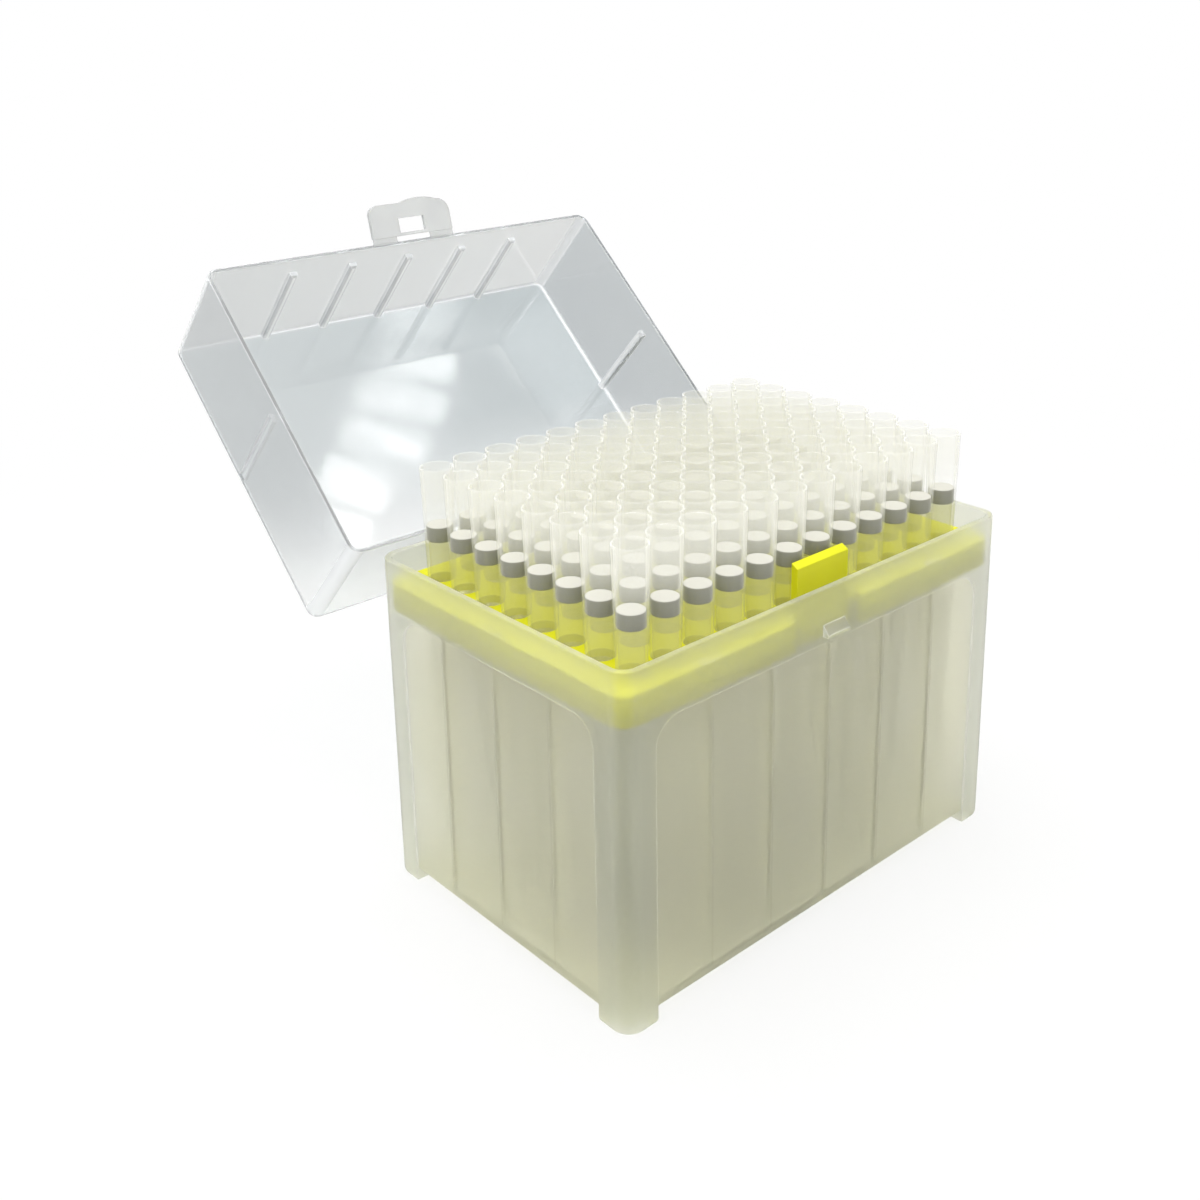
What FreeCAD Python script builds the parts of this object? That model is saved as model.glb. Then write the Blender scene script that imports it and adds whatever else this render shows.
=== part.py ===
"""Hinged box with a rack of 96 filter tips, open, standing on its feet.

Frame: millimetres, +Z up, origin on the bench plane at the centre of the base.
X runs along the twelve places, -Y is the front (catch side), +Y the hinge side.
The lid is built shut and then turned back about the hinge pins.
"""
import FreeCAD, Part
import math
import os

from FreeCAD import Vector

# ---- driving dimensions ----

# tip places; the margins run from the base's outside to the outer tips
COLUMNS = 12
ROWS = 8
COLUMN_MARGIN = 11.0
ROW_MARGIN = 9.25

# base box
BASE_LENGTH = 121.0
BASE_WIDTH = 81.5
RIM_HEIGHT = 80.0
BASE_WALL = 1.6
BASE_CORNER_RADIUS = 4.5
RIM_BAND_HEIGHT = 12.5
PANEL_RECESS = 0.5
PANEL_CORNER_RADIUS = 6.0
FLOOR_THICKNESS = 1.5
FOOT_HEIGHT = 3.8
FOOT_WIDTH = 8.6
FOOT_ROUNDING = 1.4
RIM_ROUNDING = 0.35

# how far a rib, boss or bead is rooted in its wall
ROOT_DEPTH = 0.4

# upright ribs, at the same pitch in the base and in the lid
RIB_PITCH = 18.0
LONG_WALL_RIBS = 5
SHORT_WALL_RIBS = 3
BASE_RIB_WIDTH = 1.2
BASE_RIB_DEPTH = 2.8

# snap beads that hold the rack down
BEAD_LENGTH = 5.4
BEAD_RADIUS = 0.5
BEAD_CLEARANCE = 0.15

# rack
RACK_CLEARANCE = 0.35
RACK_WALL = 1.4
DECK_THICKNESS = 1.8
DECK_DROP = 5.6
DECK_EDGE_ROUNDING = 0.8
SKIRT_GAP_WIDTH = 21.2
TONGUE_WIDTH = 16.4
TONGUE_THICKNESS = 1.7
TONGUE_RISE = 11.4
TONGUE_BEVEL = 1.0

# tips
TIP_RISE = 26.3
TIP_LENGTH = 93.0
TIP_MOUTH_RADIUS = 3.9
TIP_SHOULDER_RADIUS = 3.2
TIP_NECK_RADIUS = 2.75
TIP_END_RADIUS = 0.75
SOCKET_RADIUS = 3.35
SOCKET_LENGTH = 8.0
ORIFICE_RADIUS = 0.4
SHOULDER_HEIGHT = 1.2
SHOULDER_WALL = 0.55
HOLE_CLEARANCE = 0.2

# filter plugs
FILTER_DEPTH = 13.5
FILTER_HEIGHT = 3.6
FILTER_RADIUS = 3.0
FILTER_LEDGE = 0.35
FILTER_CLEARANCE = 0.03

# lid
LID_CLEARANCE = 0.3
LID_WALL = 1.1
LID_DEPTH = 33.0
LID_OVERLAP = 4.6
LID_OPEN_ANGLE = 137.0
LID_CORNER_RADIUS = 3.0
LID_EDGE_ROUNDING = 1.6
LID_RIB_WIDTH = 2.2
LID_RIB_DEPTH = 1.6
LID_RIB_ROUNDING = 0.7
LID_SIDE_RIBS = 1
REST_GAP = 0.3

# lid hinge
HINGE_REACH = 5.25
PIN_RADIUS = 1.5
PIN_FIT = 0.05
BOSS_RADIUS = 2.7
HINGE_SPACING = 66.0
LUG_WIDTH = 6.4
EAR_THICKNESS = 1.8
EAR_GAP = 0.3
EAR_FOOT_HEIGHT = 9.0
LUG_HEIGHT = 7.5
EAR_WEB_ANGLE = -53.0
LUG_ARM_ANGLE = 37.0
HEEL_HALF_WIDTH = 1.1

# latch
LATCH_WIDTH = 26.0
LATCH_LENGTH = 10.4
LATCH_THICKNESS = 1.1
LATCH_CORNER_RADIUS = 2.6
LATCH_BUMP_CORNER_RADIUS = 4.0
LATCH_BUMP_WIDTH = 12.0
LATCH_BUMP_RISE = 1.0
LATCH_WINDOW_WIDTH = 8.2
LATCH_WINDOW_HEIGHT = 3.9
LATCH_WINDOW_START = 2.3
LATCH_OPEN_ANGLE = 57.0
STRAP_THICKNESS = 0.4
STRAP_LENGTH = 1.4
STRAP_GAP = 10.8
STRAP_BEAD_RADIUS = 0.35
CATCH_CLEARANCE = 0.6
CATCH_REACH = 1.5
CATCH_LIP = 0.7

# ---- derived places ----

HALF_LENGTH = BASE_LENGTH / 2
HALF_WIDTH = BASE_WIDTH / 2
COLUMN_PITCH = (BASE_LENGTH - 2 * COLUMN_MARGIN) / (COLUMNS - 1)
ROW_PITCH = (BASE_WIDTH - 2 * ROW_MARGIN) / (ROWS - 1)
BAND_FOOT = RIM_HEIGHT - RIM_BAND_HEIGHT
DECK_TOP = RIM_HEIGHT - DECK_DROP
TIP_TOP = DECK_TOP + TIP_RISE
TIP_BOTTOM = TIP_TOP - TIP_LENGTH
LID_GROWTH = LID_CLEARANCE + LID_WALL
LID_RIM = RIM_HEIGHT - LID_OVERLAP
LID_HALF_LENGTH = HALF_LENGTH + LID_GROWTH
LID_HALF_WIDTH = HALF_WIDTH + LID_GROWTH
PIN_Y = HALF_WIDTH + HINGE_REACH
PIN_Z = LID_RIM
LATCH_AXIS_Y = -(LID_HALF_WIDTH - LATCH_THICKNESS / 2)
LATCH_AXIS_Z = LID_RIM - REST_GAP - STRAP_BEAD_RADIUS
X_AXIS = Vector(1, 0, 0)
Z_AXIS = Vector(0, 0, 1)


# ---- shared shapes ----

def rounded_outline(half_x, half_y, radius, z):
    """Closed wire of a rectangle with rounded corners at height z."""
    k = radius * (1 - math.sqrt(0.5))
    corners = [(1, 1), (-1, 1), (-1, -1), (1, -1)]
    arcs = []
    for sx, sy in corners:
        x_end = Vector(sx * half_x, sy * (half_y - radius), z)
        y_end = Vector(sx * (half_x - radius), sy * half_y, z)
        middle = Vector(sx * (half_x - k), sy * (half_y - k), z)
        ends = (x_end, y_end) if sx * sy > 0 else (y_end, x_end)
        arcs.append((ends[0], middle, ends[1]))
    edges = []
    for i, (start, middle, end) in enumerate(arcs):
        edges.append(Part.Arc(start, middle, end).toShape())
        edges.append(Part.LineSegment(end, arcs[(i + 1) % 4][0]).toShape())
    return Part.Wire(edges)


def rounded_block(half_x, half_y, radius, z_low, z_high):
    """Upright block with rounded vertical edges."""
    face = Part.Face(rounded_outline(half_x, half_y, radius, z_low))
    return face.extrude(Vector(0, 0, z_high - z_low))


def box(x_low, x_high, y_low, y_high, z_low, z_high):
    """Axis-aligned box between two corners."""
    size = (x_high - x_low, y_high - y_low, z_high - z_low)
    return Part.makeBox(*size, Vector(x_low, y_low, z_low))


def cylinder_x(radius, x_low, x_high, y, z):
    """Cylinder along X."""
    return Part.makeCylinder(radius, x_high - x_low, Vector(x_low, y, z), X_AXIS)


def prism_x(points_yz, x_low, x_high):
    """Polygon in the YZ plane, extruded along X."""
    points = [Vector(x_low, y, z) for y, z in points_yz]
    face = Part.Face(Part.makePolygon(points + points[:1]))
    return face.extrude(Vector(x_high - x_low, 0, 0))


def joined(shapes):
    """Fuse shapes into one clean solid."""
    first, *rest = shapes
    return first.multiFuse(rest).removeSplitter()


def spread(count, pitch):
    """Centred positions at an even pitch."""
    return [(i - (count - 1) / 2) * pitch for i in range(count)]


def about_x(shape, degrees, y, z):
    """Copy of a shape turned about a line along X."""
    turned = shape.copy()
    turned.rotate(Vector(0, y, z), X_AXIS, degrees)
    return turned


def edges_where(shape, test):
    """Edges whose midpoint and bounds pass a test."""
    return [e for e in shape.Edges if test(e.BoundBox)]


# ---- base ----

def base_outside():
    """Outer form on four feet, with a recessed panel in each wall below the plain band of the rim."""
    outside = rounded_block(HALF_LENGTH, HALF_WIDTH, BASE_CORNER_RADIUS, 0, RIM_HEIGHT)
    span_x = HALF_LENGTH - FOOT_WIDTH
    span_y = HALF_WIDTH - FOOT_WIDTH
    outside = outside.cut(box(-span_x, span_x, -BASE_WIDTH, BASE_WIDTH, -1, FOOT_HEIGHT))
    outside = outside.cut(box(-BASE_LENGTH, BASE_LENGTH, -span_y, span_y, -1, FOOT_HEIGHT))
    foot_edges = edges_where(outside, lambda b: b.ZMax < 0.01)
    outside = outside.makeFillet(FOOT_ROUNDING, foot_edges)
    for cutter in panel_cutters(span_x, span_y):
        outside = outside.cut(cutter)
    return outside


def panel_cutters(span_x, span_y):
    """Four slabs that sink the wall panels, each with two rounded upper corners."""
    cutters = []
    for side in (-1, 1):
        long_wall = rounded_block(span_x, BAND_FOOT, PANEL_CORNER_RADIUS, 0, 2 * PANEL_RECESS)
        long_wall.rotate(Vector(), X_AXIS, 90)
        long_wall.translate(Vector(0, side * HALF_WIDTH + PANEL_RECESS, 0))
        short_wall = rounded_block(span_y, BAND_FOOT, PANEL_CORNER_RADIUS, 0, 2 * PANEL_RECESS)
        short_wall.rotate(Vector(), X_AXIS, 90)
        short_wall.rotate(Vector(), Z_AXIS, 90)
        short_wall.translate(Vector(side * HALF_LENGTH - PANEL_RECESS, 0, 0))
        cutters += [long_wall, short_wall]
    return cutters


def base_cavity():
    """Space inside the base, with a pocket down into each foot."""
    inner_x = HALF_LENGTH - BASE_WALL
    inner_y = HALF_WIDTH - BASE_WALL
    radius = BASE_CORNER_RADIUS - BASE_WALL
    floor = FOOT_HEIGHT + FLOOR_THICKNESS
    cavity = rounded_block(inner_x, inner_y, radius, floor, RIM_HEIGHT + 1)
    column = rounded_block(inner_x, inner_y, radius, FLOOR_THICKNESS, floor)
    keep_x = HALF_LENGTH - FOOT_WIDTH + BASE_WALL
    keep_y = HALF_WIDTH - FOOT_WIDTH + BASE_WALL
    column = column.cut(box(-keep_x, keep_x, -BASE_WIDTH, BASE_WIDTH, 0, floor))
    column = column.cut(box(-BASE_LENGTH, BASE_LENGTH, -keep_y, keep_y, 0, floor))
    return [cavity] + column.Solids


def base_ribs():
    """Upright ribs inside the walls; the rack's skirt stands on their tops."""
    inner_x = HALF_LENGTH - BASE_WALL
    inner_y = HALF_WIDTH - BASE_WALL
    low = FOOT_HEIGHT + FLOOR_THICKNESS - ROOT_DEPTH
    half = BASE_RIB_WIDTH / 2
    ribs = []
    for side in (-1, 1):
        y_low, y_high = sorted((side * (inner_y - BASE_RIB_DEPTH), side * (inner_y + ROOT_DEPTH)))
        x_low, x_high = sorted((side * (inner_x - BASE_RIB_DEPTH), side * (inner_x + ROOT_DEPTH)))
        for x in spread(LONG_WALL_RIBS, RIB_PITCH):
            ribs.append(box(x - half, x + half, y_low, y_high, low, BAND_FOOT))
        for y in spread(SHORT_WALL_RIBS, RIB_PITCH):
            ribs.append(box(x_low, x_high, y - half, y + half, low, BAND_FOOT))
    return ribs


def snap_beads():
    """Half-round beads on the inner walls, just over the rack's edge."""
    inner_x = HALF_LENGTH - BASE_WALL
    inner_y = HALF_WIDTH - BASE_WALL
    z = DECK_TOP + BEAD_CLEARANCE + BEAD_RADIUS
    half = BEAD_LENGTH / 2
    beads = []
    for side in (-1, 1):
        for x in (-2 * RIB_PITCH, 2 * RIB_PITCH):
            beads.append(cylinder_x(BEAD_RADIUS, x - half, x + half, side * inner_y, z))
        start = Vector(side * inner_x, -half, z)
        beads.append(Part.makeCylinder(BEAD_RADIUS, BEAD_LENGTH, start, Vector(0, 1, 0)))
    return beads


def hinge_centres():
    """X of the middle of each hinge."""
    return (-HINGE_SPACING / 2, HINGE_SPACING / 2)


def boss_point(degrees):
    """Point (y, z) on a hinge boss's outline, at an angle above straight back."""
    angle = math.radians(degrees)
    return (PIN_Y + BOSS_RADIUS * math.cos(angle), PIN_Z + BOSS_RADIUS * math.sin(angle))


def hinge_ears():
    """Two pairs of bored ears on the back wall."""
    ears = []
    shelf = LID_RIM - REST_GAP
    foot = shelf - EAR_FOOT_HEIGHT
    root = HALF_WIDTH - ROOT_DEPTH
    for centre in hinge_centres():
        for side in (-1, 1):
            inner = centre + side * (LUG_WIDTH / 2 + EAR_GAP)
            x_low, x_high = sorted((inner, inner + side * EAR_THICKNESS))
            profile = [(root, foot), boss_point(EAR_WEB_ANGLE), (PIN_Y, shelf), (root, shelf)]
            web = prism_x(profile, x_low, x_high)
            boss = cylinder_x(BOSS_RADIUS, x_low, x_high, PIN_Y, PIN_Z)
            bore = cylinder_x(PIN_RADIUS + PIN_FIT, x_low - 1, x_high + 1, PIN_Y, PIN_Z)
            ears.append(joined([web, boss]).cut(bore))
    return ears


def latch_catch():
    """Wedge on the front wall that the latch's window drops over."""
    face = -HALF_WIDTH
    root = face + ROOT_DEPTH
    tip = face - CATCH_REACH
    high = LATCH_AXIS_Z - LATCH_WINDOW_START - CATCH_CLEARANCE
    low = LATCH_AXIS_Z - LATCH_WINDOW_START - LATCH_WINDOW_HEIGHT + CATCH_CLEARANCE
    half = LATCH_WINDOW_WIDTH / 2 - CATCH_CLEARANCE
    profile = [(root, low), (tip, low), (tip, low + CATCH_LIP), (face, high), (root, high)]
    return prism_x(profile, -half, half)


def make_base():
    """The whole base as one moulding."""
    shell = base_outside()
    for space in base_cavity():
        shell = shell.cut(space)
    shell = joined([shell] + base_ribs() + snap_beads() + [latch_catch()])
    rim_edges = edges_where(shell, lambda b: b.ZMin > RIM_HEIGHT - 0.01)
    shell = shell.makeFillet(RIM_ROUNDING, rim_edges)
    return joined([shell] + hinge_ears())


# ---- rack ----

def make_rack():
    """Perforated deck with a hanging skirt and a raised front tongue."""
    half_x = HALF_LENGTH - BASE_WALL - RACK_CLEARANCE
    half_y = HALF_WIDTH - BASE_WALL - RACK_CLEARANCE
    radius = BASE_CORNER_RADIUS - BASE_WALL - RACK_CLEARANCE
    tray = rounded_block(half_x, half_y, radius, BAND_FOOT, DECK_TOP)
    top_edges = edges_where(tray, lambda b: b.ZMin > DECK_TOP - 0.01)
    tray = tray.makeFillet(DECK_EDGE_ROUNDING, top_edges)
    hollow_top = DECK_TOP - DECK_THICKNESS
    inner_radius = radius - RACK_WALL
    hollow = rounded_block(half_x - RACK_WALL, half_y - RACK_WALL, inner_radius, BAND_FOOT - 1, hollow_top)
    tray = tray.cut(hollow)
    gap = SKIRT_GAP_WIDTH / 2
    tongue_face = -half_y + RACK_WALL
    tray = tray.cut(box(-gap, gap, -half_y - 1, tongue_face, BAND_FOOT - 1, DECK_TOP + 1))
    tongue_top = DECK_TOP + TONGUE_RISE
    tongue_back = tongue_face + TONGUE_THICKNESS
    tongue = prism_x([(tongue_face, BAND_FOOT), (tongue_back, BAND_FOOT), (tongue_back, tongue_top),
                      (tongue_face, tongue_top - TONGUE_BEVEL)], -TONGUE_WIDTH / 2, TONGUE_WIDTH / 2)
    holes = []
    for x in spread(COLUMNS, COLUMN_PITCH):
        for y in spread(ROWS, ROW_PITCH):
            centre = Vector(x, y, hollow_top - 1)
            holes.append(Part.makeCylinder(TIP_NECK_RADIUS + HOLE_CLEARANCE, DECK_THICKNESS + 2, centre))
    return joined([tray, tongue]).cut(Part.makeCompound(holes))


# ---- tips and filters ----

def make_tip():
    """One tip standing at the origin's place, as a solid of revolution."""
    filter_top = TIP_TOP - FILTER_DEPTH
    filter_seat = filter_top - FILTER_HEIGHT
    below_ledge = filter_seat - FILTER_LEDGE
    shoulder = DECK_TOP
    bore_at_filter = FILTER_RADIUS + FILTER_CLEARANCE
    outside = [(TIP_MOUTH_RADIUS, TIP_TOP), (TIP_SHOULDER_RADIUS, shoulder), (TIP_NECK_RADIUS, shoulder),
               (TIP_END_RADIUS, TIP_BOTTOM)]
    inside = [(ORIFICE_RADIUS, TIP_BOTTOM), (TIP_NECK_RADIUS - SHOULDER_WALL, shoulder - SHOULDER_HEIGHT),
              (TIP_SHOULDER_RADIUS - SHOULDER_WALL, shoulder + SHOULDER_HEIGHT),
              (FILTER_RADIUS - FILTER_LEDGE, below_ledge), (FILTER_RADIUS - FILTER_LEDGE, filter_seat),
              (bore_at_filter, filter_seat), (bore_at_filter, filter_top),
              (SOCKET_RADIUS, TIP_TOP - SOCKET_LENGTH), (SOCKET_RADIUS, TIP_TOP)]
    points = [Vector(radius, 0, z) for radius, z in outside + inside]
    face = Part.Face(Part.makePolygon(points + points[:1]))
    return face.revolve(Vector(), Z_AXIS, 360)


def make_filter():
    """One filter plug, resting on the ledge inside its tip."""
    seat = TIP_TOP - FILTER_DEPTH - FILTER_HEIGHT
    return Part.makeCylinder(FILTER_RADIUS, FILTER_HEIGHT, Vector(0, 0, seat))


def column_of(solid, x):
    """Copies of one solid at every place of a column."""
    copies = []
    for y in spread(ROWS, ROW_PITCH):
        copy = solid.copy()
        copy.translate(Vector(x, y, 0))
        copies.append(copy)
    return Part.makeCompound(copies)


# ---- lid ----

def opened(shape):
    """Turn a piece of the shut lid to its open place."""
    return about_x(shape, -LID_OPEN_ANGLE, PIN_Y, PIN_Z)


def lid_ribs():
    """Rounded ribs inside the lid; their feet stand on the base's rim when it is shut."""
    inner_x = LID_HALF_LENGTH - LID_WALL
    inner_y = LID_HALF_WIDTH - LID_WALL
    low = RIM_HEIGHT + REST_GAP
    high = LID_RIM + LID_DEPTH - LID_WALL + ROOT_DEPTH
    half = LID_RIB_WIDTH / 2
    ribs = []
    blank = box(-half, half, -ROOT_DEPTH, LID_RIB_DEPTH, low, high)
    face_edges = edges_where(blank, lambda b: b.YMin > LID_RIB_DEPTH - 0.01 and b.ZMin < high - 0.01)
    blank = blank.makeFillet(LID_RIB_ROUNDING, face_edges)
    for x in spread(LONG_WALL_RIBS, RIB_PITCH):
        front_rib = blank.copy()
        front_rib.translate(Vector(x, -inner_y, 0))
        back_rib = blank.copy()
        back_rib.rotate(Vector(), Z_AXIS, 180)
        back_rib.translate(Vector(x, inner_y, 0))
        ribs += [front_rib, back_rib]
    for y in spread(LID_SIDE_RIBS, RIB_PITCH):
        left = blank.copy()
        left.rotate(Vector(), Z_AXIS, -90)
        left.translate(Vector(-inner_x, y, 0))
        right = blank.copy()
        right.rotate(Vector(), Z_AXIS, 90)
        right.translate(Vector(inner_x, y, 0))
        ribs += [left, right]
    return ribs


def hinge_lugs():
    """Lugs on the lid's back edge, each with two stub pins and a heel that stops the lid."""
    lugs = []
    half = LUG_WIDTH / 2
    reach = half + EAR_GAP + EAR_THICKNESS
    root = LID_HALF_WIDTH - ROOT_DEPTH
    top = LID_RIM + LUG_HEIGHT
    heel_length = HINGE_REACH - REST_GAP
    heel_low = PIN_Z - HEEL_HALF_WIDTH
    heel_high = PIN_Z + HEEL_HALF_WIDTH
    for x in hinge_centres():
        profile = [(root, LID_RIM), (PIN_Y, PIN_Z), boss_point(LUG_ARM_ANGLE), (root, top)]
        arm = prism_x(profile, x - half, x + half)
        boss = cylinder_x(BOSS_RADIUS, x - half, x + half, PIN_Y, PIN_Z)
        pin = cylinder_x(PIN_RADIUS, x - reach, x + reach, PIN_Y, PIN_Z)
        heel = box(x - half, x + half, PIN_Y - heel_length, PIN_Y, heel_low, heel_high)
        heel = about_x(heel, LID_OPEN_ANGLE, PIN_Y, PIN_Z)
        lugs += [arm, boss, pin, heel]
    return lugs


def make_lid():
    """The lid as one moulding, without its latch."""
    high = LID_RIM + LID_DEPTH
    radius = LID_CORNER_RADIUS
    outside = rounded_block(LID_HALF_LENGTH, LID_HALF_WIDTH, radius, LID_RIM, high)
    top_edges = edges_where(outside, lambda b: b.ZMin > high - 0.01)
    outside = outside.makeFillet(LID_EDGE_ROUNDING, top_edges)
    inner_x = LID_HALF_LENGTH - LID_WALL
    inner_y = LID_HALF_WIDTH - LID_WALL
    inside = rounded_block(inner_x, inner_y, radius - LID_WALL, LID_RIM - 1, high - LID_WALL)
    inner_edges = edges_where(inside, lambda b: b.ZMin > high - LID_WALL - 0.01)
    inside = inside.makeFillet(LID_EDGE_ROUNDING - LID_WALL, inner_edges)
    return opened(joined([outside.cut(inside)] + lid_ribs() + hinge_lugs()))


# ---- latch ----

def latch_plate():
    """Latch plate hanging straight down from its hinge line, as when it is shut."""
    half = LATCH_WIDTH / 2
    low = LATCH_AXIS_Z - LATCH_LENGTH
    top = LATCH_AXIS_Z - STRAP_LENGTH
    back = LATCH_AXIS_Y - LATCH_THICKNESS / 2
    front = LATCH_AXIS_Y + LATCH_THICKNESS / 2
    plate = box(-half, half, back, front, low, top)
    for radius, side in ((LATCH_CORNER_RADIUS, -1), (LATCH_BUMP_CORNER_RADIUS, 1)):
        corner = edges_where(plate, lambda b: b.YLength > LATCH_THICKNESS / 2 and b.ZMax < low + 0.01
                             and side * b.XMin > half - 0.01)
        plate = plate.makeFillet(radius, corner)
    bump_end = half - LATCH_BUMP_CORNER_RADIUS
    left = Vector(bump_end - LATCH_BUMP_WIDTH, back, low)
    middle = Vector(bump_end - LATCH_BUMP_WIDTH / 2, back, low - LATCH_BUMP_RISE)
    right = Vector(bump_end, back, low)
    bow = Part.Wire([Part.Arc(left, middle, right).toShape(), Part.LineSegment(right, left).toShape()])
    bump = Part.Face(bow).extrude(Vector(0, LATCH_THICKNESS, 0))
    return joined([plate, bump])


def make_latch():
    """Latch with its window and the two straps of its living hinge, flipped up and open with the lid."""
    half = LATCH_WIDTH / 2
    window_top = LATCH_AXIS_Z - LATCH_WINDOW_START
    window = box(-LATCH_WINDOW_WIDTH / 2, LATCH_WINDOW_WIDTH / 2, LATCH_AXIS_Y - LATCH_THICKNESS,
                 LATCH_AXIS_Y + LATCH_THICKNESS, window_top - LATCH_WINDOW_HEIGHT, window_top)
    pieces = [latch_plate().cut(window)]
    strap_back = LATCH_AXIS_Y - STRAP_THICKNESS / 2
    strap_foot = LATCH_AXIS_Z - STRAP_LENGTH - ROOT_DEPTH
    for x_low, x_high in ((-half, -STRAP_GAP / 2), (STRAP_GAP / 2, half)):
        strap = box(x_low, x_high, strap_back, strap_back + STRAP_THICKNESS, strap_foot, LATCH_AXIS_Z)
        bead = cylinder_x(STRAP_BEAD_RADIUS, x_low, x_high, LATCH_AXIS_Y, LATCH_AXIS_Z)
        pieces += [strap, bead]
    flipped = about_x(joined(pieces), -LATCH_OPEN_ANGLE, LATCH_AXIS_Y, LATCH_AXIS_Z)
    return opened(flipped)


# ---- the set of files ----

def all_parts():
    """Every node's name and shape."""
    parts = {"base": make_base(), "tip_rack": make_rack(), "lid": make_lid(), "lid_latch": make_latch()}
    tip = make_tip()
    plug = make_filter()
    for number, x in enumerate(spread(COLUMNS, COLUMN_PITCH), start=1):
        parts[f"tips_column_{number:02d}"] = column_of(tip, x)
        parts[f"filters_column_{number:02d}"] = column_of(plug, x)
    return parts


os.makedirs("parts", exist_ok=True)
for name, shape in all_parts().items():
    shape.exportStep(os.path.join("parts", name + ".step"))
    print(name, len(shape.Solids), "solids, valid", shape.isValid(), "volume", round(shape.Volume, 1))
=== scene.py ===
"""Dresses the open tip box: milky base, yellow rack, clear filter tips, glossy lid and latch."""

import logging
import math
from dataclasses import dataclass
from enum import Enum

import bmesh
import bpy
from mathutils import Matrix, Quaternion, Vector

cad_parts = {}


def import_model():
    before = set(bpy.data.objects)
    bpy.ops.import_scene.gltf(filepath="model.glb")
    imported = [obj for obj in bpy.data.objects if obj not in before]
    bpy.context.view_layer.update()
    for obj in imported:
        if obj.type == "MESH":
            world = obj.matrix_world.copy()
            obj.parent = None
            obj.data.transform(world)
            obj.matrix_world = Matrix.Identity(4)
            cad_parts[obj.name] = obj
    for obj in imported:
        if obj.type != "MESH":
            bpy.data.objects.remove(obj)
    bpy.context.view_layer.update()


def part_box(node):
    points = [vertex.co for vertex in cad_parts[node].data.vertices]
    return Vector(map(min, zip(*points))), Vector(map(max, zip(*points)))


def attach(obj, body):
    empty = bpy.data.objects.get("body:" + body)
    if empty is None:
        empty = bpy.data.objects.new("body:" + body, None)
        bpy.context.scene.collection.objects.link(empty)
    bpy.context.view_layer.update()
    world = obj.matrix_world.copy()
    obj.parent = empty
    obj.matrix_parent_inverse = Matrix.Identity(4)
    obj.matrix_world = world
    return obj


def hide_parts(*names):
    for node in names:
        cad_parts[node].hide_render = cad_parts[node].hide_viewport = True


MM = 0.001
POLYPROPYLENE_IOR = 1.49
WHITE = (1.0, 1.0, 1.0)

Colour = tuple[float, float, float]
Place = tuple[float, float, float]
Span = tuple[float, float]

logging.basicConfig(level=logging.INFO, format="%(levelname)s %(message)s")
log = logging.getLogger("tip_box")


# ---- nodes ----


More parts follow.
